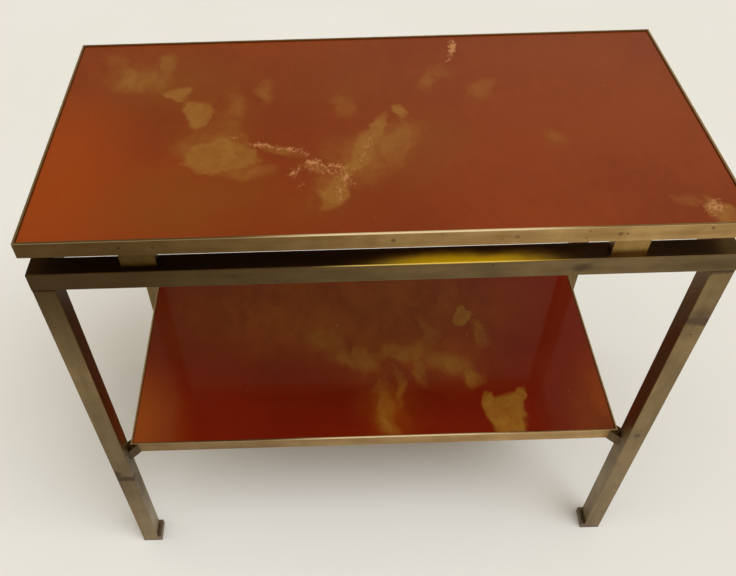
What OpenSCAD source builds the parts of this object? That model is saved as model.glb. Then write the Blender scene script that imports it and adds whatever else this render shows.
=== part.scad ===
// Two-tier side table: a lacquered top and shelf in brass edging, on a frame of square brass tube.
// Units are millimetres, +Z is up, and the origin is on the floor under the middle of the table.

/* [Overall] */
// Width of the table, left to right
table_w = 600; // [480:5:800]
// Depth of the table, front to back
table_d = 300; // [240:5:450]
// Height of the table, floor to the brass lip of the top
table_h = 550; // [450:5:700]

/* [Tube frame] */
// Side of the square tube in the legs and rails
tube = 20; // [16:1:26]
// Wall of the square tube
tube_wall = 1.5; // [1:0.1:2.5]
// Rounding of the outer corners of the tube
tube_round = 1; // [0.5:0.1:1.4]

/* [Top and shelf] */
// Height of the brass edging
edge_h = 16; // [13:0.5:22]
// Thickness of the brass edging
edge_t = 2; // [1.5:0.1:3]
// Depth of the lacquer below the brass lip
lip = 1.2; // [0.4:0.1:2]
// Thickness of the lacquered facing sheets
facing_t = 3; // [2:0.1:4]
// Height of the brass lip of the shelf above the floor
shelf_top = 207; // [120:1:320]
// Gap between a corner of the shelf and its leg
shelf_gap = 1; // [0.6:0.1:2]

/* [Spacers] */
// Width of a spacer between the frame and the top
spacer_w = 30; // [18:1:40]
// Thickness of a spacer, front to back
spacer_t = 10; // [8:1:14]
// Height of a spacer, which is the open gap under the top
spacer_h = 20; // [10:1:30]
// Distance from the end of the table to the middle of a spacer
spacer_inset = 95; // [60:1:120]

/* [Feet and shelf brackets] */
// Height of a foot
foot_h = 10; // [7:1:16]
// Thickness of the sole under a leg
sole_t = 5; // [3:1:6]
// How far a foot stands inward of its leg
foot_step = 4; // [2:0.5:8]
// Width of a shelf bracket, across the corner
bracket_w = 12; // [8:1:16]
// Thickness of the bracket's tongue under the shelf
tongue_t = 2; // [1.5:0.5:4]
// Reach of the bracket's tongue from the corner of the leg
tongue_reach = 26; // [20:1:36]

/* [Hidden] */
$fn = 48;
half_w = table_w / 2;
half_d = table_d / 2;
top_under = table_h - edge_h;
frame_top = top_under - spacer_h;
frame_under = frame_top - tube;
leg_x = half_w - tube / 2;
leg_y = half_d - tube / 2;
spacer_x = half_w - spacer_inset;
shelf_w = table_w - 2 * (tube + shelf_gap);
shelf_d = table_d - 2 * (tube + shelf_gap);
shelf_under = shelf_top - edge_h;
core_t = edge_h - lip - facing_t;
// Upstand of a bracket stops a little below the lip of the shelf
bracket_top = shelf_top - 1.5;
tongue_under = shelf_under - tongue_t;
// Screw through a rail and a spacer into the board of the top
top_screw_d = 4;
top_screw_hole_d = 4.6;
top_screw_head_d = 8;
top_screw_bite = 0.75 * core_t;
top_screw_l = tube + spacer_h + top_screw_bite;
// Screw through the tongue of a bracket into the board of the shelf
shelf_screw_d = 3;
shelf_screw_hole_d = 3.4;
shelf_screw_head_d = 6;
shelf_screw_bite = 0.75 * core_t;
shelf_screw_l = tongue_t + shelf_screw_bite;
shelf_screw_reach = 0.65 * tongue_reach;
// Flush pins in the edging of the top, placed by share of the width or the depth
pin_shank_d = 2;
pin_head_d = 4;
pin_head_t = 1;
pin_l = 14;
pin_z = table_h - edge_h / 2;
long_pin_shares = [-0.36, 0.01, 0.177, 0.316];
short_pin_shares = [-0.27, 0.27];
sides = [-1, 1];

brass = "#8f7440";
tarnished_brass = "#6b5730";
red_lacquer = "#8c3416";
core_wood = "#9a7650";
screw_steel = "#8a8a86";

// ---- Shared shapes ----

// Square with true arcs at its corners, centred
module rounded_square(side, radius) {
    straight = side - 2 * radius;
    square([side, straight], center = true);
    square([straight, side], center = true);
    for (x = sides, y = sides)
        translate([x * straight / 2, y * straight / 2])
            circle(r = radius);
}

// Section of the square tube
module tube_section() {
    difference() {
        rounded_square(tube, tube_round);
        square(tube - 2 * tube_wall, center = true);
    }
}

// Plan of a mitred member along X whose outer face is at y = -across / 2
module mitred_plan(length, across, thickness) {
    polygon([
        [-length / 2, -across / 2],
        [length / 2, -across / 2],
        [length / 2 - thickness, -across / 2 + thickness],
        [-length / 2 + thickness, -across / 2 + thickness]
    ]);
}

// Mitred tube along X, under the top
module mitred_tube(length, across) {
    intersection() {
        translate([0, -across / 2 + tube / 2, frame_top - tube / 2])
            rotate([90, 0, 90])
                linear_extrude(length, center = true)
                    tube_section();
        translate([0, 0, frame_under - 1])
            linear_extrude(tube + 2)
                mitred_plan(length, across, tube);
    }
}

// Mitred brass strip along X, from z = under to z = under + edge_h
module edge_strip(length, across, under) {
    translate([0, 0, under])
        linear_extrude(edge_h)
            mitred_plan(length, across, edge_t);
}

// Turns a front member so that it becomes the back, left or right one
module to_back() { rotate(180) children(); }
module to_left() { rotate(-90) children(); }
module to_right() { rotate(90) children(); }

// Moves a front left corner piece to the corner at side x and side y
module to_corner(x, y) {
    mirror([x > 0 ? 1 : 0, 0, 0])
        mirror([0, y > 0 ? 1 : 0, 0])
            children();
}

// Upright cylinders on the middles of the four spacers
module spacer_bores(diameter, low, high) {
    for (x = sides, y = sides)
        translate([x * spacer_x, y * leg_y, low])
            cylinder(d = diameter, h = high - low);
}

// Screw with its shank up and its cross-slotted head below z = 0
module screw(shank_d, shank_l, head_d) {
    head_h = 0.32 * head_d;
    slot_w = 0.14 * head_d;
    slot_l = 0.62 * head_d;
    cylinder(d = shank_d, h = shank_l);
    difference() {
        translate([0, 0, -head_h])
            cylinder(d1 = 0.72 * head_d, d2 = head_d, h = head_h);
        for (turn = [0, 90])
            rotate(turn)
                translate([-slot_l / 2, -slot_w / 2, -head_h - 1])
                    cube([slot_l, slot_w, 1 + 0.5 * head_h]);
    }
}

// ---- Edge pins ----

// Pin along +Y with its head's face at y = 0
module pin() {
    rotate([-90, 0, 0]) {
        cylinder(d = pin_head_d, h = pin_head_t);
        cylinder(d = pin_shank_d, h = pin_l);
    }
}

// A row of pins in the front strip of an edging
module pin_row(length, across, shares) {
    for (share = shares)
        translate([share * length, -across / 2, pin_z])
            pin();
}

module long_pins() { pin_row(table_w, table_d, long_pin_shares); }
module short_pins() { pin_row(table_d, table_w, short_pin_shares); }

module all_pins() {
    long_pins();
    to_back() long_pins();
    to_left() short_pins();
    to_right() short_pins();
}

module top_edge_pins() {
    color(tarnished_brass)
        all_pins();
}

// ---- Top ----

module top_facing() {
    color(red_lacquer)
        translate([-half_w + edge_t, -half_d + edge_t, table_h - lip - facing_t])
            cube([table_w - 2 * edge_t, table_d - 2 * edge_t, facing_t]);
}

module top_board() {
    color(core_wood)
        difference() {
            translate([-half_w + edge_t, -half_d + edge_t, top_under])
                cube([table_w - 2 * edge_t, table_d - 2 * edge_t, core_t]);
            spacer_bores(top_screw_d, top_under - 1, top_under + top_screw_bite);
            all_pins();
        }
}

module top_edge_front() {
    color(brass)
        difference() {
            edge_strip(table_w, table_d, top_under);
            long_pins();
        }
}

module top_edge_left() {
    color(brass)
        to_left()
            difference() {
                edge_strip(table_d, table_w, top_under);
                short_pins();
            }
}

module top_edge_back() { to_back() top_edge_front(); }
module top_edge_right() { to_back() top_edge_left(); }

// ---- Frame ----

// Spacer of the front left corner
module spacer() {
    color(brass)
        difference() {
            translate([-spacer_x - spacer_w / 2, -leg_y - spacer_t / 2, frame_top])
                cube([spacer_w, spacer_t, spacer_h]);
            spacer_bores(top_screw_hole_d, frame_top - 1, top_under + 1);
        }
}

module rail_front() {
    color(brass)
        difference() {
            mitred_tube(table_w, table_d);
            spacer_bores(top_screw_hole_d, frame_under - 1, frame_top + 1);
        }
}

module rail_left() {
    color(brass)
        to_left()
            mitred_tube(table_d, table_w);
}

module rail_back() { to_back() rail_front(); }
module rail_right() { to_back() rail_left(); }

module top_screws() {
    color(screw_steel)
        for (x = sides, y = sides)
            translate([x * spacer_x, y * leg_y, frame_under])
                screw(top_screw_d, top_screw_l, top_screw_head_d);
}

// Leg of the front left corner, standing on the sole of its foot
module leg() {
    color(brass)
        translate([-leg_x, -leg_y, sole_t])
            linear_extrude(frame_under - sole_t)
                tube_section();
}

// Foot of the front left corner: a sole with an upstand round the inner sides of the leg
module foot() {
    foot_side = tube + foot_step;
    color(tarnished_brass)
        translate([-half_w, -half_d, 0])
            difference() {
                cube([foot_side, foot_side, foot_h]);
                translate([-1, -1, sole_t])
                    cube([tube + 1, tube + 1, foot_h]);
            }
}

// ---- Shelf ----

module shelf_facing() {
    color(red_lacquer)
        translate([-shelf_w / 2 + edge_t, -shelf_d / 2 + edge_t, shelf_top - lip - facing_t])
            cube([shelf_w - 2 * edge_t, shelf_d - 2 * edge_t, facing_t]);
}

// Places children at the inner corner of the front left leg, +X pointing to the table's middle
module at_leg_corner() {
    translate([-half_w + tube, -half_d + tube, 0])
        rotate(45)
            children();
}

// Where the screws of the shelf stand, at z = 0
module at_shelf_screws() {
    for (x = sides, y = sides)
        to_corner(x, y)
            at_leg_corner()
                translate([shelf_screw_reach, 0, 0])
                    children();
}

module shelf_board() {
    color(core_wood)
        difference() {
            translate([-shelf_w / 2 + edge_t, -shelf_d / 2 + edge_t, shelf_under])
                cube([shelf_w - 2 * edge_t, shelf_d - 2 * edge_t, core_t]);
            at_shelf_screws()
                translate([0, 0, shelf_under - 1])
                    cylinder(d = shelf_screw_d, h = 1 + shelf_screw_bite);
        }
}

module shelf_edge_front() {
    color(brass)
        edge_strip(shelf_w, shelf_d, shelf_under);
}

module shelf_edge_left() {
    color(brass)
        to_left()
            edge_strip(shelf_d, shelf_w, shelf_under);
}

module shelf_edge_back() { to_back() shelf_edge_front(); }
module shelf_edge_right() { to_back() shelf_edge_left(); }

// Bracket of the front left corner: its notches hold the leg and the corner of the shelf
module bracket() {
    half = bracket_w / 2;
    // Diagonal distance from the corner of the leg to the corner of the shelf
    neck = shelf_gap * sqrt(2);
    upstand = [[0, 0], [-half, half], [neck + half, half], [neck, 0], [neck + half, -half], [-half, -half]];
    tongue = [[0, 0], [-half, half], [tongue_reach - half, half], [tongue_reach - half, -half], [-half, -half]];
    color(tarnished_brass)
        at_leg_corner() {
            translate([0, 0, shelf_under])
                linear_extrude(bracket_top - shelf_under)
                    polygon(upstand);
            translate([0, 0, tongue_under])
                difference() {
                    union() {
                        linear_extrude(tongue_t)
                            polygon(tongue);
                        translate([tongue_reach - half, 0, 0])
                            cylinder(r = half, h = tongue_t);
                    }
                    translate([shelf_screw_reach, 0, -1])
                        cylinder(d = shelf_screw_hole_d, h = tongue_t + 2);
                }
        }
}

module shelf_screws() {
    color(screw_steel)
        at_shelf_screws()
            translate([0, 0, tongue_under])
                screw(shelf_screw_d, shelf_screw_l, shelf_screw_head_d);
}

// ---- Assembly ----

top_facing();
top_board();
top_edge_front();
top_edge_back();
top_edge_left();
top_edge_right();
top_edge_pins();
top_screws();
to_corner(-1, -1) spacer();  // spacer_front_left
to_corner(1, -1) spacer();  // spacer_front_right
to_corner(-1, 1) spacer();  // spacer_back_left
to_corner(1, 1) spacer();  // spacer_back_right
rail_front();
rail_back();
rail_left();
rail_right();
to_corner(-1, -1) leg();  // leg_front_left
to_corner(1, -1) leg();  // leg_front_right
to_corner(-1, 1) leg();  // leg_back_left
to_corner(1, 1) leg();  // leg_back_right
to_corner(-1, -1) foot();  // foot_front_left
to_corner(1, -1) foot();  // foot_front_right
to_corner(-1, 1) foot();  // foot_back_left
to_corner(1, 1) foot();  // foot_back_right
shelf_facing();
shelf_board();
shelf_edge_front();
shelf_edge_back();
shelf_edge_left();
shelf_edge_right();
to_corner(-1, -1) bracket();  // bracket_front_left
to_corner(1, -1) bracket();  // bracket_front_right
to_corner(-1, 1) bracket();  // bracket_back_left
to_corner(1, 1) bracket();  // bracket_back_right
shelf_screws();
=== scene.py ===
"""Looks for a two-tier side table: lacquered top and shelf in brass edging, on a square brass tube frame.

Lengths are metres; names that end in _MM hold millimetres and are turned into metres by mm().
"""

import math
import random

import bmesh
import bpy
from mathutils import Matrix, Vector


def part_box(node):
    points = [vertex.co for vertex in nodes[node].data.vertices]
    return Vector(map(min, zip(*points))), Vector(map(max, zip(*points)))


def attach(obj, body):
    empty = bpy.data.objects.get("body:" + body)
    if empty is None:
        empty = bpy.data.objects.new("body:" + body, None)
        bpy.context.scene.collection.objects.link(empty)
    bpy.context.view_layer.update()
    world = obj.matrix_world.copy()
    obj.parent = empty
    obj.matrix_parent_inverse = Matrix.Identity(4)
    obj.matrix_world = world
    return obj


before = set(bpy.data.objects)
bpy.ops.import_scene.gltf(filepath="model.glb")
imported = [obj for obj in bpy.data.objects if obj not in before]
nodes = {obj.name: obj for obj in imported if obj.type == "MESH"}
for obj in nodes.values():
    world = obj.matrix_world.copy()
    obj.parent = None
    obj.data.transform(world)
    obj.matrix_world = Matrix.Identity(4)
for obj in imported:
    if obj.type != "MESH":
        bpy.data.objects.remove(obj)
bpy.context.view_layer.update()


def mm(*lengths):
    """Millimetres as metres: one number, or a tuple of them."""
    scaled = tuple(0.001 * length for length in lengths)
    return scaled[0] if len(scaled) == 1 else scaled


# ---- Camera ----

CAMERA_PLACE = mm(-47.4, -595.0, 980.4)
CAMERA_PITCH = 47.44  # degrees below the horizon
CAMERA_YAW = 0.2  # degrees to the right of the table's back
CAMERA_ROLL = -1.52  # degrees
CAMERA_SENSOR = 36.0  # millimetres wide
CAMERA_LENS = 37.86  # millimetres
CAMERA_SHIFT = (0.0514, -0.0093)
CAMERA_NEAR = 0.05


def make_camera():
    """Adds the scene's camera, above and in front of the table, looking down at it."""
    data = bpy.data.cameras.new("camera")
    data.sensor_width = CAMERA_SENSOR
    data.lens = CAMERA_LENS
    data.shift_x, data.shift_y = CAMERA_SHIFT
    data.clip_start = CAMERA_NEAR
    camera = bpy.data.objects.new("camera", data)
    turn = Matrix.Rotation(math.radians(-CAMERA_YAW), 4, "Z")
    tilt = Matrix.Rotation(math.radians(90 - CAMERA_PITCH), 4, "X")
    roll = Matrix.Rotation(math.radians(CAMERA_ROLL), 4, "Z")
    camera.matrix_world = Matrix.Translation(CAMERA_PLACE) @ turn @ tilt @ roll
    bpy.context.scene.collection.objects.link(camera)
    bpy.context.scene.camera = camera


make_camera()


# ---- Node helpers ----


class Tree:
    """Short names for the nodes that the materials are made of. Each method returns an output socket."""

    def __init__(self, owner):
        owner.use_nodes = True
        self.tree = owner.node_tree

    def put(self, socket, value):
        """Links an output to an input, or sets the input's own value."""
        if isinstance(value, bpy.types.NodeSocket):
            self.tree.links.new(value, socket)
        else:
            socket.default_value = value

    def node(self, kind, inputs=(), **settings):
        """A new node, with its inputs filled and its own settings made."""
        made = self.tree.nodes.new(kind)
        for name, value in settings.items():
            setattr(made, name, value)
        for name, value in dict(inputs).items():
            self.put(made.inputs[name], value)
        return made

    def place(self):
        """Position in the table's frame."""
        return self.node("ShaderNodeTexCoord").outputs["Object"]

    def axes(self, vector):
        split = self.node("ShaderNodeSeparateXYZ", {"Vector": vector})
        return split.outputs["X"], split.outputs["Y"], split.outputs["Z"]

    def maths(self, operation, first, second=0.0, third=0.0):
        made = self.node("ShaderNodeMath", {0: first, 1: second, 2: third}, operation=operation)
        return made.outputs["Value"]

    def vector(self, operation, first, second):
        made = self.node("ShaderNodeVectorMath", {0: first, 1: second}, operation=operation)
        return made.outputs["Vector"]

    def noise(self, where, scale, detail=4.0, roughness=0.5, colour=False):
        made = self.node(
            "ShaderNodeTexNoise",
            {"Vector": where, "Scale": scale, "Detail": detail, "Roughness": roughness},
        )
        return made.outputs["Color" if colour else "Fac"]

    def cells(self, where, scale):
        """Distance to the nearest of many scattered points."""
        made = self.node("ShaderNodeTexVoronoi", {"Vector": where, "Scale": scale}, feature="F1")
        return made.outputs["Distance"]

    def stretched(self, where, scale):
        """Coordinates scaled by a different number along each axis."""
        return self.vector("MULTIPLY", where, scale)

    def warped(self, where, scale, reach, detail=3.0):
        """Coordinates pushed about by noise, by up to half of reach."""
        push = self.noise(where, scale, detail, 0.55, colour=True)
        centred = self.vector("SUBTRACT", push, (0.5, 0.5, 0.5))
        return self.vector("ADD", where, self.vector("MULTIPLY", centred, (reach,) * 3))

    def band(self, value, low, high, out_low=0.0, out_high=1.0):
        """value from low to high becomes a smooth step from out_low to out_high."""
        made = self.node(
            "ShaderNodeMapRange",
            {"Value": value, "From Min": low, "From Max": high, "To Min": out_low, "To Max": out_high},
            interpolation_type="SMOOTHSTEP",
        )
        return made.outputs["Result"]

    def spot(self, where, centre, size, turn=0.0):
        """1 at the centre of an ellipsoid, 0 at its surface and outside. turn is in degrees about Z."""
        local = self.node(
            "ShaderNodeMapping",
            {"Vector": where, "Location": centre, "Rotation": (0, 0, math.radians(turn)), "Scale": size},
            vector_type="TEXTURE",
        )
        made = self.node(
            "ShaderNodeTexGradient", {"Vector": local.outputs["Vector"]}, gradient_type="SPHERICAL"
        )
        return made.outputs["Fac"]

    def patch(self, where, patch_mm):
        """A spot given as one tuple: centre x, y, z and half sizes x, y, z in mm."""
        return self.spot(where, mm(*patch_mm[:3]), mm(*patch_mm[3:6]))

    def both(self, first, second):
        """The product of two fields: full only where both are."""
        return self.maths("MULTIPLY", first, second)

    def total(self, operation, fields):
        """All the fields joined by one operation, such as MAXIMUM."""
        joined = fields[0]
        for field in fields[1:]:
            joined = self.maths(operation, joined, field)
        return joined

    def mix(self, share, first, second):
        """first where share is 0, second where it is 1."""
        made = self.node("ShaderNodeMix", data_type="RGBA")
        colours = [s for s in made.inputs if s.type == "RGBA"]
        self.put(made.inputs["Factor"], share)
        self.put(colours[0], first)
        self.put(colours[1], second)
        return [s for s in made.outputs if s.type == "RGBA"][0]

    def bump(self, height, strength, distance, normal=None):
        inputs = {"Height": height, "Strength": strength, "Distance": distance}
        if normal is not None:
            inputs["Normal"] = normal
        return self.node("ShaderNodeBump", inputs).outputs["Normal"]


def srgb(red, green, blue):
    """A display colour, 0 to 255, as the linear colour that a shader needs."""
    channels = [c / 255 for c in (red, green, blue)]
    linear = [c / 12.92 if c <= 0.04045 else ((c + 0.055) / 1.055) ** 2.4 for c in channels]
    return (*linear, 1.0)


def new_material(name):
    """A new material, its Tree and its Principled shader."""
    material = bpy.data.materials.new(name)
    tree = Tree(material)
    return material, tree, tree.tree.nodes["Principled BSDF"]


# ---- Lacquer ----

# Gold clouds in the top. Every cloud is x, y, half length, half width in mm, turn in degrees, strength
TOP_GOLD_MM = [
    (-142, -40, 40, 28, -6, 1.3),
    (-148, -30, 54, 40, 0, 0.5),
    (-152, 6, 40, 56, 10, 0.34),
    (-22, -52, 60, 52, 30, 0.4),
    (-118, -64, 36, 15, -8, 0.42),
    (-171, 20, 16, 26, 12, 1.0),
    (-185, 54, 14, 15, 20, 0.85),
    (-240, 82, 62, 33, -12, 0.52),
    (-206, 104, 16, 31, 6, 0.42),
    (-262, 112, 21, 25, 0, 0.36),
    (-140, 20, 21, 61, 0, 0.42),
    (-108, 58, 16, 31, 0, 0.42),
    (-84, -34, 30, 10, -14, 0.5),
    (-54, -60, 25, 13, -14, 0.55),
    (-24, -58, 28, 49, 0, 0.5),
    (-16, -46, 69, 14, 68, 0.85),
    (-40, -92, 33, 14, 72, 0.95),
    (-34, -76, 54, 26, 50, 0.5),
    (-4, -12, 38, 10, 72, 0.85),
    (16, -32, 54, 31, 62, 0.5),
    (24, 14, 11, 14, 0, 0.9),
    (-26, 30, 20, 28, 0, 0.42),
    (-66, 46, 49, 10, -14, 0.2),
    (60, 64, 13, 36, -20, 0.38),
    (106, 44, 16, 30, -25, 0.42),
    (78, 78, 21, 28, 4, 0.34),
    (158, -32, 16, 30, 0, 0.24),
    (272, -131, 15, 25, 15, 0.9),
    (250, -118, 21, 13, 0, 0.34),
]
# Flaked streaks of bright leaf on the top
TOP_LEAF_MM = [
    (-104, -29, 17, 5.5, -8, 0.95),
    (-78, -36, 24, 4.5, -14, 0.6),
    (-65, -42, 12, 5, -46, 0.5),
    (-58, -56, 12, 6, -10, 1.0),
    (-40, -62, 20, 5, -8, 0.8),
    (-74, -68, 12, 8, 60, 0.62),
    (-30, -78, 20, 8, -60, 0.5),
    (-68, -86, 12, 4, 60, 0.4),
    (-130, -17, 12, 2.4, 24, 0.5),
    (-12, -42, 44, 5, 68, 0.42),
    (-36, -96, 26, 8, 76, 0.45),
    (-48, -66, 26, 12, -10, 0.4),
    (88, 126, 26, 5, 82, 1.0),
    (81, 106, 14, 3, 80, 0.6),
    (271, -128, 16, 11, 60, 0.75),
]
# Brown veils under the top's lacquer
TOP_VEIL_MM = [
    (-170, -104, 130, 76, 0, 1.0),
    (-60, -110, 110, 50, 0, 0.5),
    (-20, 60, 140, 80, 0, 0.5),
    (-190, 70, 120, 90, 0, 0.8),
    (-150, 0, 70, 110, 0, 0.8),
    (30, -40, 100, 80, 30, 0.75),
]
# Orange warmth at the left of the top
TOP_GLOW_MM = [
    (-292, -66, 112, 158, 8, 1.0),
]
# The same four kinds in the shelf
SHELF_GOLD_MM = [
    (-62, 14, 49, 28, -20, 0.42),
    (-14, -12, 51, 25, -18, 0.52),
    (44, -8, 52, 25, 8, 0.52),
    (96, -24, 48, 23, -8, 0.5),
    (14, -84, 23, 74, 0, 0.38),
    (36, -52, 9, 46, 0, 0.42),
    (62, -42, 11, 30, 0, 0.5),
    (120, -46, 21, 21, -30, 0.5),
    (142, -82, 11, 20, 12, 0.9),
    (174, -82, 11, 20, -14, 0.9),
    (157, -106, 25, 39, 0, 1.0),
    (121, 46, 14, 20, 0, 1.9),
    (146, 12, 21, 38, 30, 0.36),
    (78, 22, 23, 49, 0, 0.36),
]
SHELF_LEAF_MM = [
    (-38, 38, 2.4, 6, 0, 0.8),
    (107, 66, 3, 4, 0, 0.7),
    (148, 5, 3, 5, 0, 0.6),
    (128, 18, 4, 6, 0, 0.4),
]
SHELF_VEIL_AND_LIGHT_MM = [
    # Painted light: this veil lightens the back of the shelf, where the top shades it
    (-30, 66, 300, 120, 0, 1.0),
    (50, 0, 160, 80, 0, 0.8),
    (20, -90, 60, 80, 0, 0.5),
    # Painted reflection: a light-brown haze at the right front, for a bright wall mirrored in the lacquer
    (285, -100, 80, 100, 0, 0.6),
]
SHELF_GLOW_MM = [
    (-292, -100, 90, 130, 0, 0.8),
    (285, -60, 60, 120, 0, 0.2),
]

# How flat the middle of a strong gold cloud is
GOLD_CRISP = 1.0
# Painted shade: a dark line along the lacquer's border, where the brass lips shade it
BORDER_SHADE_REACH = mm(1.5)
BORDER_SHADE_TONE = srgb(40, 14, 6)
COAT_IOR = 1.45
COAT_ROUGHNESS = 0.07
UNDERCOAT_SPECULAR = 0.15


def cloud_field(tree, where, height, clouds_mm, crisp=0.0):
    """The clouds of a list as one field, 0 outside them all. crisp gives the strong ones a flat middle."""
    fields = []
    for x, y, half_length, half_width, turn, strength in clouds_mm:
        centre = (*mm(x, y), height)
        # Stretched upward, so that warping moves the cloud in its plane only
        size = (*mm(half_length, half_width), 1.0)
        spot = tree.spot(where, centre, size, turn)
        filled = tree.maths("MINIMUM", tree.maths("MULTIPLY", spot, 1.0 + crisp * strength), 1.0)
        fields.append(tree.maths("MULTIPLY", filled, strength))
    return tree.total("MAXIMUM", fields)


def border_fade(tree, where, low, high, reach):
    """1 at the border of a box in plan, fading to 0 at reach inside it."""
    x, y, _ = tree.axes(where)
    gaps = [
        tree.maths("SUBTRACT", x, low.x),
        tree.maths("SUBTRACT", high.x, x),
        tree.maths("SUBTRACT", y, low.y),
        tree.maths("SUBTRACT", high.y, y),
    ]
    return tree.band(tree.total("MINIMUM", gaps), 0.0, reach, 1.0, 0.0)


def lacquer(name, node, red, deep, gold, leaf, veil_and_light, glow, gold_mm, leaf_mm, veil_and_light_mm, glow_mm):
    """Polished lacquer over gold clouds.

    red and deep are the lacquer's own colours. gold, leaf, veil_and_light and glow tint the clouds of that
    kind.
    In the shelf, veil_and_light also paints light into the back, which the top shades, and a painted
    reflection at the right front.
    """
    low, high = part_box(node)
    material, tree, shader = new_material(name)
    flat = tree.place()
    # Clouds drift in wide curls, with wisps drawn out from front to back
    curled = tree.warped(flat, 14.0, 0.050)
    wispy = tree.warped(tree.warped(curled, 60.0, 0.014), 240.0, 0.004)
    smoke = tree.noise(tree.stretched(wispy, (1.0, 0.45, 1.0)), 34.0, 8.0, 0.62)
    fine = tree.noise(tree.stretched(wispy, (1.0, 0.35, 1.0)), 120.0, 6.0, 0.6)
    drift = tree.noise(curled, 5.0, 3.0, 0.5)

    # The red itself: two depths of pigment, mottled
    mottle = tree.maths("MULTIPLY_ADD", fine, 0.25, tree.maths("MULTIPLY", drift, 0.75))
    colour = tree.mix(tree.band(mottle, 0.36, 0.64), deep, red)

    # Veils; in the shelf one is painted light and one a painted reflection
    veils = cloud_field(tree, curled, high.z, veil_and_light_mm)
    thick = tree.band(smoke, 0.30, 0.70, 0.45, 1.0)
    colour = tree.mix(tree.both(tree.band(veils, 0.0, 0.8), thick), colour, veil_and_light)

    glows = cloud_field(tree, tree.warped(flat, 6.0, 0.06), high.z, glow_mm)
    colour = tree.mix(tree.band(glows, 0.0, 0.75), colour, glow)

    golds = cloud_field(tree, wispy, high.z, gold_mm, GOLD_CRISP)
    ragged = tree.maths("MULTIPLY_ADD", tree.maths("SUBTRACT", smoke, 0.5), 0.9, golds)
    body = tree.both(tree.band(ragged, 0.04, 0.78), tree.band(golds, 0.0, 0.24))
    grain = tree.band(fine, 0.28, 0.72, 0.55, 1.0)
    colour = tree.mix(tree.both(body, grain), colour, gold)

    flaked = tree.warped(tree.warped(flat, 150.0, 0.010), 500.0, 0.0035)
    leaves = cloud_field(tree, flaked, high.z, leaf_mm)
    torn = tree.noise(tree.stretched(flaked, (1.0, 0.5, 1.0)), 430.0, 5.0, 0.72)
    shred = tree.maths("MULTIPLY_ADD", tree.maths("SUBTRACT", torn, 0.5), 3.4, leaves)
    leafed = tree.both(tree.band(shred, 0.34, 0.78), tree.band(leaves, 0.0, 0.2))
    colour = tree.mix(leafed, colour, leaf)

    # Painted shade: the lacquer darkens along its border under the lips, and is a little rougher there
    border_shade = border_fade(tree, tree.warped(flat, 90.0, 0.0016), low, high, BORDER_SHADE_REACH)
    colour = tree.mix(tree.maths("MULTIPLY", border_shade, 0.8), colour, BORDER_SHADE_TONE)

    # Dust specks and tiny nicks
    speck = tree.band(tree.cells(flat, 90.0), 0.05, 0.075, 1.0, 0.0)
    rare = tree.band(tree.noise(flat, 30.0, 2.0), 0.60, 0.64)
    specks = tree.both(speck, rare)
    colour = tree.mix(tree.maths("MULTIPLY", specks, 0.35), colour, leaf)

    tree.put(shader.inputs["Base Color"], colour)
    smear = tree.noise(tree.stretched(flat, (1.0, 2.4, 1.0)), 9.0, 6.0, 0.6)
    rough = tree.maths("ADD", tree.band(smear, 0.3, 0.7, 0.30, 0.42), tree.maths("MULTIPLY", border_shade, 0.2))
    tree.put(shader.inputs["Roughness"], rough)
    tree.put(shader.inputs["Metallic"], tree.maths("MULTIPLY", leafed, 0.25))
    shader.inputs["Coat Weight"].default_value = 1.0
    shader.inputs["Coat IOR"].default_value = COAT_IOR
    shader.inputs["Coat Roughness"].default_value = COAT_ROUGHNESS
    shader.inputs["Specular IOR Level"].default_value = UNDERCOAT_SPECULAR

    # Leaf stands a little proud, and the polish follows the board's slow waves
    waves = tree.noise(flat, 16.0, 2.0, 0.4)
    normal = tree.bump(waves, 0.04, 0.002)
    tree.put(shader.inputs["Coat Normal"], normal)
    raised = tree.maths("ADD", tree.both(leafed, torn), specks)
    tree.put(shader.inputs["Normal"], tree.bump(raised, 0.5, 0.0004, normal))
    return material


TOP_LACQUER = lacquer(
    "top_lacquer",
    "top_facing",
    red=srgb(135, 52, 5),
    deep=srgb(121, 42, 2),
    gold=srgb(148, 95, 36),
    leaf=srgb(204, 138, 86),
    veil_and_light=srgb(126, 59, 8),
    glow=srgb(147, 57, 0),
    gold_mm=TOP_GOLD_MM,
    leaf_mm=TOP_LEAF_MM,
    veil_and_light_mm=TOP_VEIL_MM,
    glow_mm=TOP_GLOW_MM,
)
SHELF_LACQUER = lacquer(
    "shelf_lacquer",
    "shelf_facing",
    red=srgb(121, 25, 0),
    deep=srgb(109, 20, 0),
    gold=srgb(156, 106, 34),
    leaf=srgb(190, 136, 88),
    veil_and_light=srgb(156, 76, 5),
    glow=srgb(148, 66, 0),
    gold_mm=SHELF_GOLD_MM,
    leaf_mm=SHELF_LEAF_MM,
    veil_and_light_mm=SHELF_VEIL_AND_LIGHT_MM,
    glow_mm=SHELF_GLOW_MM,
)


# ---- Brass ----

# Dark marks of heat and handling: centre x, y, z, half sizes x, y, z in mm, strength
LEG_MARKS_MM = [
    (-290, -150, 166, 26, 12, 8, 0.7),
    (-297, -150, 176, 9, 12, 12, 0.45),
    (290, -150, 426, 24, 12, 9, 0.6),
    (290, -150, 436, 20, 10, 24, 0.3),
    (290, -150, 494, 18, 16, 5, 0.7),
    (-290, -150, 494, 18, 16, 4, 0.5),
    (289, -150, 229, 5, 4, 5, 0.5),
]
RAIL_MARKS_MM = [
    (167, -151, 504, 16, 6, 9, 0.42),
    (232, -151, 503, 16, 6, 9, 0.22),
    (-130, -151, 506, 30, 5, 7, 0.2),
]
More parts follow.
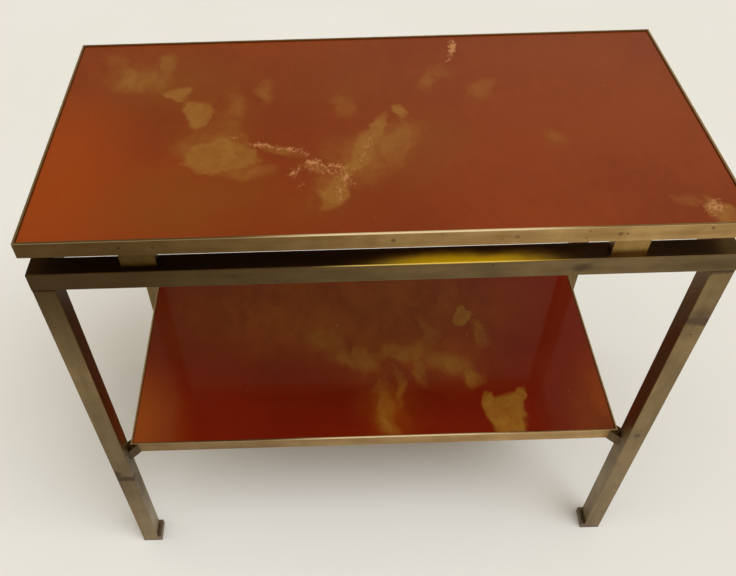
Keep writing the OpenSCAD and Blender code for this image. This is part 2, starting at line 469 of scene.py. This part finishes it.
# Pits in the front edging of the top: x, z, half size in mm
BAND_PITS_MM = [
    (-266, 547, 1.6),
    (-227, 543, 1.3),
    (45, 547, 1.0),
    (94, 540, 1.1),
    (164, 546, 1.2),
    (195, 542, 1.5),
    (263, 546, 2.2),
]
PIT_DEPTH = mm(2)
PIT_TONE = srgb(62, 36, 20)
# Where the front rail's top is worn bright under a painted reflection, and its front edge carries
# an even brighter painted highlight: centre and half sizes in mm
RUB_AND_SHEEN_MM = (66, -148, 514, 116, 17, 8)
EDGE_HIGHLIGHT_MM = (38, -150, 514, 130, 17, 8)
RUB_AND_SHEEN_TONE = srgb(238, 188, 14)
EDGE_HIGHLIGHT_TONE = srgb(240, 208, 104)
EDGE_HIGHLIGHT_WIDTH = mm(0.9)
# Painted shade: brass darkened in patches: centre and half sizes in mm, strength
SHADE_PATCHES_MM = [
    (-310, -160, 530, 520, 240, 200, 0.84),  # front left of the top and the frame
    (-330, -130, 199, 560, 30, 40, 0.5),  # left of the shelf's front edging
    (290, 140, 360, 60, 60, 260, 0.7),  # back right leg
    (300, -150, 504, 110, 30, 14, 0.48),  # right end of the front rail
    (-290, -150, 240, 40, 20, 240, 0.4),  # front left leg
]
SHADE_TONE = srgb(54, 34, 4)
# Painted highlight on the crests of the two lips, brightest at their front edges and along the middle
LIP_STRIPS = ("top_edge_front", "shelf_edge_front")
LIP_DEPTH = mm(1.0)
LIP_FRONT = mm(2.4)
LIP_BACK_SHARE = 0.5
LIP_HIGHLIGHT_MM = (30, -140, 380, 190, 60, 600)


def rub_and_highlight(tree, where, colour):
    """The front rail's bright patch, worn brass under a painted reflection, with a painted highlight on its
    front edge: the colour, and how much of the metal it covers.
    """
    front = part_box("rail_front")[0].y
    rail_top = mm(RUB_AND_SHEEN_MM[2])
    _, depth, height = tree.axes(where)
    rub_and_sheen = tree.patch(tree.warped(where, 30.0, 0.012), RUB_AND_SHEEN_MM)
    facing_up = tree.band(height, rail_top - mm(0.9), rail_top - mm(0.3))
    polish = tree.both(tree.band(rub_and_sheen, 0.05, 0.8), facing_up)
    colour = tree.mix(polish, colour, RUB_AND_SHEEN_TONE)
    # Painted highlight along the rail's front top edge
    near_front = tree.band(depth, front, front + EDGE_HIGHLIGHT_WIDTH, 1.0, 0.0)
    near_top = tree.band(height, rail_top - mm(1.2), rail_top - mm(0.4))
    edge = tree.band(tree.patch(where, EDGE_HIGHLIGHT_MM), 0.2, 0.6)
    edge = tree.both(edge, tree.both(near_front, near_top))
    colour = tree.mix(edge, colour, EDGE_HIGHLIGHT_TONE)
    return colour, tree.maths("MAXIMUM", polish, edge)


def highlight_crests(tree, where):
    """Where the lip highlight is painted: 1 on the crests of the lips at their front edges, less behind, 0
    below them.
    """
    _, depth, height = tree.axes(where)
    crests = []
    for strip in LIP_STRIPS:
        low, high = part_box(strip)
        level = tree.maths("ABSOLUTE", tree.maths("SUBTRACT", height, high.z))
        level = tree.band(level, 0.0, LIP_DEPTH, 1.0, 0.0)
        nearness = tree.band(depth, low.y, low.y + LIP_FRONT, 1.0, LIP_BACK_SHARE)
        crests.append(tree.both(level, nearness))
    return tree.total("MAXIMUM", crests)


def brass(name, along, tones, marks_mm=(), pits_mm=(), rub_and_sheen=False, lip_highlight=None, lip_highlight_ends=1.0):
    """Aged brass, brushed along one axis.

    tones come from tone_set: clean shows where it is worn, aged nearly everywhere, dark in marks and
    blotches. lip_highlight is the tone of the painted highlight on the lips, and lip_highlight_ends its
    share at their ends.
    """
    clean, aged, dark = tones["clean"], tones["aged"], tones["dark"]
    rough = tones["rough"]
    material, tree, shader = new_material(name)
    where = tree.place()
    # Fine lines run along the member, so the pattern is slow along it and quick across it
    slow = [1.0 if axis == along else 26.0 for axis in "XYZ"]
    slower = [1.0 if axis == along else 9.0 for axis in "XYZ"]
    lines = tree.noise(tree.stretched(where, slow), 40.0, 5.0, 0.65)
    streaks = tree.noise(tree.stretched(where, slower), 11.0, 5.0, 0.6)
    clouds = tree.noise(tree.warped(where, 18.0, 0.03), 26.0, 6.0, 0.62)
    grain = tree.noise(where, 420.0, 4.0, 0.6)

    patina = tree.maths("MULTIPLY_ADD", streaks, 0.45, tree.maths("MULTIPLY", clouds, 0.55))
    colour = tree.mix(tree.band(patina, 0.38, 0.66), aged, clean)
    keep = tree.maths("MULTIPLY", tree.band(patina, 0.30, 0.44, 1.0, 0.0), 1.0 - tones["wear"])
    colour = tree.mix(tree.maths("MULTIPLY", keep, 0.7), colour, dark)
    colour = tree.mix(tree.band(lines, 0.30, 0.70, 0.0, 0.22), colour, clean)

    smudged = tree.warped(tree.warped(where, 90.0, 0.010), 420.0, 0.004)
    marks = [tree.maths("MULTIPLY", tree.patch(smudged, mark), mark[6]) for mark in marks_mm]
    # Specks of tarnish all over
    speck = tree.band(tree.cells(tree.warped(where, 60.0, 0.006), 130.0), 0.10, 0.22, 1.0, 0.0)
    rare = tree.band(tree.noise(where, 40.0, 3.0), 0.58, 0.68)
    marks.append(tree.maths("MULTIPLY", tree.both(speck, rare), 0.5))
    stain = tree.band(tree.total("MAXIMUM", marks), 0.04, 0.34)
    colour = tree.mix(tree.maths("MULTIPLY", stain, 0.75), colour, dark)

    dents = tree.maths("MULTIPLY", tree.band(grain, 0.30, 0.36, 1.0, 0.0), 0.3)
    if pits_mm:
        pitted = tree.warped(where, 700.0, 0.0012)
        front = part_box("top_edge_front")[0].y
        pits = [
            tree.spot(pitted, (mm(x), front, mm(z)), (mm(size), PIT_DEPTH, mm(size)))
            for x, z, size in pits_mm
        ]
        deep = tree.band(tree.total("MAXIMUM", pits), 0.0, 0.6)
        colour = tree.mix(tree.maths("MULTIPLY", deep, 0.6), colour, PIT_TONE)
        dents = tree.maths("MAXIMUM", dents, deep)

    # Painted shade: the brass is darkened in the listed patches
    shaded = [tree.band(tree.patch(where, spot), 0.0, 0.85, 0.0, spot[6]) for spot in SHADE_PATCHES_MM]
    colour = tree.mix(tree.total("MAXIMUM", shaded), colour, SHADE_TONE)
    shader.inputs["Metallic"].default_value = tones["metal"]
    # Painted reflection and highlight on the front rail, with less metal where they lie
    if rub_and_sheen:
        colour, polish = rub_and_highlight(tree, where, colour)
        tree.put(shader.inputs["Metallic"], tree.band(polish, 0.0, 1.0, 1.0, 0.4))
    # Painted highlight on the lips' crests, with less metal there
    if lip_highlight:
        crest = highlight_crests(tree, where)
        highlight_spread = tree.band(tree.patch(where, LIP_HIGHLIGHT_MM), 0.0, 0.6)
        tint = tree.both(crest, tree.band(highlight_spread, 0.0, 1.0, lip_highlight_ends, 1.0))
        colour = tree.mix(tint, colour, lip_highlight)
        tree.put(shader.inputs["Metallic"], tree.band(tree.both(crest, highlight_spread), 0.0, 1.0, 1.0, 0.2))
    tree.put(shader.inputs["Base Color"], colour)

    uneven = tree.band(patina, 0.35, 0.65, rough + 0.08, rough - 0.05)
    uneven = tree.maths("MULTIPLY_ADD", tree.maths("SUBTRACT", lines, 0.5), 0.16, uneven)
    uneven = tree.maths("MULTIPLY_ADD", stain, 0.15, uneven)
    tree.put(shader.inputs["Roughness"], uneven)

    brushed = tree.bump(lines, 0.12, 0.0004)
    worn = tree.bump(clouds, 0.06, 0.0012, brushed)
    sunk = tree.maths("SUBTRACT", 1.0, dents)
    tree.put(shader.inputs["Normal"], tree.bump(sunk, 0.5, 0.0004, worn))
    return material


def tone_set(clean, aged, dark, wear, rough, metal=1.0):
    """The looks of one brass: three display colours, the share of clean, roughness and the metal's share."""
    return dict(
        clean=srgb(*clean), aged=srgb(*aged), dark=srgb(*dark), wear=wear, rough=rough, metal=metal
    )


BAND_TONES = tone_set((186, 152, 100), (156, 122, 74), (104, 74, 46), wear=0.6, rough=0.30)
RAIL_TONES = tone_set((128, 107, 72), (107, 88, 58), (78, 58, 46), wear=0.5, rough=0.36)
LEG_TONES = tone_set((141, 119, 80), (119, 99, 66), (86, 66, 52), wear=0.5, rough=0.36)
SPACER_TONES = tone_set((160, 130, 76), (140, 110, 58), (104, 70, 38), wear=0.5, rough=0.36)
BRACKET_TONES = tone_set((110, 89, 62), (86, 68, 48), (56, 40, 30), wear=0.3, rough=0.42)
DARK_TONES = tone_set((128, 108, 88), (104, 86, 70), (68, 52, 44), wear=0.1, rough=0.42, metal=0.5)
PIN_TONES = tone_set((150, 118, 76), (122, 94, 60), (84, 58, 40), wear=0.2, rough=0.4)
# Painted highlight colours of the lips
FRONT_LIP_HIGHLIGHT = srgb(255, 232, 184)
SIDE_LIP_HIGHLIGHT = srgb(255, 222, 168)

BAND_BRASS = {
    "X": brass("band_brass_x", "X", BAND_TONES, pits_mm=BAND_PITS_MM, lip_highlight=FRONT_LIP_HIGHLIGHT, lip_highlight_ends=0.3),
    "Y": brass("band_brass_y", "Y", BAND_TONES, lip_highlight=SIDE_LIP_HIGHLIGHT),
}
FRAME_BRASS = {
    "X": brass("frame_brass_x", "X", RAIL_TONES, marks_mm=RAIL_MARKS_MM, rub_and_sheen=True),
    "Y": brass("frame_brass_y", "Y", RAIL_TONES),
    "Z": brass("frame_brass_z", "Z", LEG_TONES, marks_mm=LEG_MARKS_MM),
}
SPACER_BRASS = brass("spacer_brass", "Z", SPACER_TONES)
BRACKET_BRASS = brass("bracket_brass", "Z", BRACKET_TONES)
DARK_BRASS = brass("dark_brass", "Z", DARK_TONES)
PIN_BRASS = brass("pin_brass", "Y", PIN_TONES)


# ---- Core board and screws ----

WOOD_DARK = srgb(66, 36, 22)
WOOD_PALE = srgb(112, 70, 42)
WOOD_PORES = srgb(44, 24, 15)
STEEL_DULL = srgb(120, 118, 112)
STEEL_BRIGHT = srgb(176, 174, 168)
STEEL_RUST = srgb(96, 60, 38)


def stained_wood():
    """Dark-stained board, its grain running along the table."""
    material, tree, shader = new_material("core_wood")
    where = tree.place()
    drawn = tree.stretched(tree.warped(where, 6.0, 0.02), (1.0, 14.0, 14.0))
    rings = tree.noise(drawn, 6.0, 6.0, 0.6)
    pores = tree.noise(tree.stretched(where, (1.0, 30.0, 30.0)), 60.0, 3.0, 0.6)
    colour = tree.mix(tree.band(rings, 0.35, 0.65), WOOD_DARK, WOOD_PALE)
    colour = tree.mix(tree.band(pores, 0.56, 0.68), colour, WOOD_PORES)
    tree.put(shader.inputs["Base Color"], colour)
    tree.put(shader.inputs["Roughness"], tree.band(rings, 0.3, 0.7, 0.72, 0.55))
    tree.put(shader.inputs["Normal"], tree.bump(pores, 0.3, 0.0005))
    return material


def worn_steel():
    """Dull zinc-plated steel, mottled, with a little rust."""
    material, tree, shader = new_material("screw_steel")
    where = tree.place()
    mottle = tree.noise(where, 380.0, 5.0, 0.6)
    rust = tree.band(tree.noise(where, 160.0, 5.0, 0.65), 0.56, 0.70)
    colour = tree.mix(tree.band(mottle, 0.3, 0.7), STEEL_DULL, STEEL_BRIGHT)
    colour = tree.mix(tree.maths("MULTIPLY", rust, 0.7), colour, STEEL_RUST)
    tree.put(shader.inputs["Base Color"], colour)
    tree.put(shader.inputs["Metallic"], tree.maths("SUBTRACT", 1.0, tree.maths("MULTIPLY", rust, 0.8)))
    tree.put(shader.inputs["Roughness"], tree.band(mottle, 0.3, 0.7, 0.30, 0.48))
    tree.put(shader.inputs["Normal"], tree.bump(mottle, 0.2, 0.0002))
    return material


CORE_WOOD = stained_wood()
SCREW_STEEL = worn_steel()


# ---- CAD nodes: softened edges and finishes ----

WELD_REACH = mm(0.01)
FLAT_ANGLE = math.radians(0.5)  # faces closer to one plane than this are joined
SHARP_ANGLE = math.radians(40)  # edges sharper than this are rounded
ROUND_SEGMENTS = 3
EDGE_ROUND = {
    "top_facing": mm(0.3),
    "shelf_facing": mm(0.3),
    "top_board": mm(0.5),
    "shelf_board": mm(0.5),
    "top_edge": mm(0.35),
    "shelf_edge": mm(0.45),
    "top_edge_pins": mm(0.15),
    "top_screws": mm(0.15),
    "shelf_screws": mm(0.12),
    "spacer": mm(0.5),
    "rail": mm(0.15),
    "leg": mm(0.25),
    "foot": mm(0.6),
    "bracket": mm(0.4),
}


def soften(node, width):
    """Rounds the sharp edges of a CAD node without touching its own mesh."""
    weld = node.modifiers.new("weld", "WELD")
    weld.merge_threshold = WELD_REACH
    flat = node.modifiers.new("flat", "DECIMATE")
    flat.decimate_type = "DISSOLVE"
    flat.angle_limit = FLAT_ANGLE
    bevel = node.modifiers.new("bevel", "BEVEL")
    bevel.width = width
    bevel.segments = ROUND_SEGMENTS
    bevel.limit_method = "ANGLE"
    bevel.angle_limit = SHARP_ANGLE
    bevel.use_clamp_overlap = True
    bevel.harden_normals = True


def finish_of(name):
    """The material of a CAD node."""
    sideways = name.endswith(("_left", "_right"))
    if name == "top_facing":
        return TOP_LACQUER
    if name == "shelf_facing":
        return SHELF_LACQUER
    if name.endswith("_board"):
        return CORE_WOOD
    if name.endswith("_screws"):
        return SCREW_STEEL
    if name.startswith("bracket"):
        return BRACKET_BRASS
    if name.startswith("foot"):
        return DARK_BRASS
    if name.endswith("_pins"):
        return PIN_BRASS
    if name.startswith("spacer"):
        return SPACER_BRASS
    if name.startswith("leg"):
        return FRAME_BRASS["Z"]
    if name.startswith("rail"):
        return FRAME_BRASS["Y" if sideways else "X"]
    return BAND_BRASS["Y" if sideways else "X"]


def round_of(name):
    """The edge rounding of a CAD node: the longest key that its name starts with."""
    keys = [key for key in EDGE_ROUND if name.startswith(key)]
    return EDGE_ROUND[max(keys, key=len)]


for name, node in nodes.items():
    soften(node, round_of(name))
    node.data.materials.clear()
    node.data.materials.append(finish_of(name))


# ---- Solder ----

BEAD_RADIUS = mm(1.1)
BEAD_STEPS = 16
BEAD_SIDES = 10
BEAD_INSET = mm(1.6)
BEAD_END = 0.25  # share of the radius left at the ends
BEAD_SEED = 7


def solder_bead(name, start, end, luck):
    """A lumpy bead of solder in an inside corner, from start to end, thinning out at both ends."""
    start, end = Vector(start), Vector(end)
    along = (end - start).normalized()
    across = along.cross(Vector((0, 0, 1))).normalized()
    upward = along.cross(across)
    shape = bmesh.new()
    rings = []
    for step in range(BEAD_STEPS + 1):
        share = step / BEAD_STEPS
        taper = BEAD_END + (1 - BEAD_END) * math.sin(math.pi * share) ** 0.4
        radius = BEAD_RADIUS * taper * luck.uniform(0.78, 1.15)
        middle = start.lerp(end, share)
        ring = []
        for side in range(BEAD_SIDES):
            angle = math.tau * side / BEAD_SIDES
            outward = math.cos(angle) * across + math.sin(angle) * upward
            ring.append(shape.verts.new(middle + radius * luck.uniform(0.93, 1.07) * outward))
        rings.append(ring)
    for first, second in zip(rings, rings[1:]):
        for side in range(BEAD_SIDES):
            after = (side + 1) % BEAD_SIDES
            shape.faces.new((first[side], first[after], second[after], second[side]))
    shape.faces.new(reversed(rings[0]))
    shape.faces.new(rings[-1])
    bmesh.ops.recalc_face_normals(shape, faces=shape.faces)
    mesh = bpy.data.meshes.new(name)
    shape.to_mesh(mesh)
    shape.free()
    for face in mesh.polygons:
        face.use_smooth = True
    mesh.materials.append(DARK_BRASS)
    bead = bpy.data.objects.new(name, mesh)
    bpy.context.scene.collection.objects.link(bead)
    bead.modifiers.new("smooth", "SUBSURF").render_levels = 1
    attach(bead, "root")


def solder_leg(corner, luck):
    """The two beads under the rails, on the inner faces of one leg."""
    low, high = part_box("leg_" + corner)
    back, right = "back" in corner, "right" in corner
    outer_x, inner_x = (high.x, low.x) if right else (low.x, high.x)
    outer_y, inner_y = (high.y, low.y) if back else (low.y, high.y)
    inset_x = -BEAD_INSET if right else BEAD_INSET
    inset_y = -BEAD_INSET if back else BEAD_INSET
    meeting = (inner_x, inner_y, high.z)
    solder_bead("solder_" + corner + "_side", (inner_x, outer_y + inset_y, high.z), meeting, luck)
    solder_bead("solder_" + corner + "_end", (outer_x + inset_x, inner_y, high.z), meeting, luck)


solder_luck = random.Random(BEAD_SEED)
for corner in ("front_left", "front_right", "back_left", "back_right"):
    solder_leg(corner, solder_luck)


# ---- Stage ----

FLOOR_RADIUS = 7.0
FLOOR_TONES = (srgb(234, 232, 228), srgb(237, 235, 232))


def make_floor():
    """A plain pale disc, far wider than the view."""
    mesh = bpy.data.meshes.new("floor")
    shape = bmesh.new()
    bmesh.ops.create_circle(shape, cap_ends=True, segments=128, radius=FLOOR_RADIUS)
    shape.to_mesh(mesh)
    shape.free()
    floor = bpy.data.objects.new("floor", mesh)
    bpy.context.scene.collection.objects.link(floor)
    material, tree, shader = new_material("floor")
    cloudy = tree.band(tree.noise(tree.place(), 1.6, 3.0, 0.5), 0.3, 0.7)
    tree.put(shader.inputs["Base Color"], tree.mix(cloudy, *FLOOR_TONES))
    shader.inputs["Roughness"].default_value = 0.6
    shader.inputs["Specular IOR Level"].default_value = 0.25
    mesh.materials.append(material)


# Soft lamps in the studio's sky: direction, half spread in degrees, brightness at the middle, colour
SKY_LAMPS = [
    ((0.38, -0.30, 0.87), 42.0, 1.4, (1.0, 0.96, 0.88, 1.0)),
    ((-0.48, -0.16, 0.86), 46.0, 0.5, (1.0, 0.97, 0.90, 1.0)),
    ((0.45, 0.78, 0.45), 36.0, 0.09, (1.0, 0.90, 0.90, 1.0)),
]
ROOM_HORIZON = srgb(198, 194, 188)
ROOM_ABOVE = srgb(130, 116, 84)
# Suns that light the table and floor: direction, spread in degrees, strength, colour
SUNS = {
    "key": (SKY_LAMPS[0][0], 34.0, 0.95, (1.0, 1.10, 1.20)),
    "fill": (SKY_LAMPS[1][0], 60.0, 0.34, (1.0, 1.10, 1.22)),
}


def make_world():
    """A room that is pale near the horizon and dimmer above, with lamps that fade out at their edges."""
    world = bpy.data.worlds.new("studio")
    bpy.context.scene.world = world
    tree = Tree(world)
    background = tree.tree.nodes["Background"]
    direction = tree.node("ShaderNodeTexCoord").outputs["Generated"]
    _, _, up = tree.axes(direction)
    room = tree.mix(tree.band(up, 0.0, 0.45), ROOM_HORIZON, ROOM_ABOVE)
    tree.put(background.inputs["Color"], room)
    light = background.outputs["Background"]
    for source, spread, brightness, colour in SKY_LAMPS:
        towards = Vector(source).normalized()
        facing = tree.node("ShaderNodeVectorMath", {0: direction, 1: towards}, operation="DOT_PRODUCT")
        edge = math.cos(math.radians(spread))
        strength = tree.band(facing.outputs["Value"], edge, 1.0, 0.0, brightness)
        lamp = tree.node("ShaderNodeBackground", {"Color": colour, "Strength": strength})
        joined = tree.node("ShaderNodeAddShader", {0: light, 1: lamp.outputs["Background"]})
        light = joined.outputs["Shader"]
    tree.put(tree.tree.nodes["World Output"].inputs["Surface"], light)


def soft_sun(name, source, spread, strength, colour):
    """Even light from the direction of source. It lights without showing as a disc in the gloss."""
    data = bpy.data.lights.new(name, "SUN")
    data.angle = math.radians(spread)
    data.energy = strength
    data.color = colour
    light = bpy.data.objects.new(name, data)
    light.rotation_euler = Vector(source).to_track_quat("Z", "Y").to_euler()
    light.visible_glossy = False
    bpy.context.scene.collection.objects.link(light)


make_floor()
make_world()
for name, settings in SUNS.items():
    soft_sun(name, *settings)
bpy.context.scene.view_settings.view_transform = "Standard"
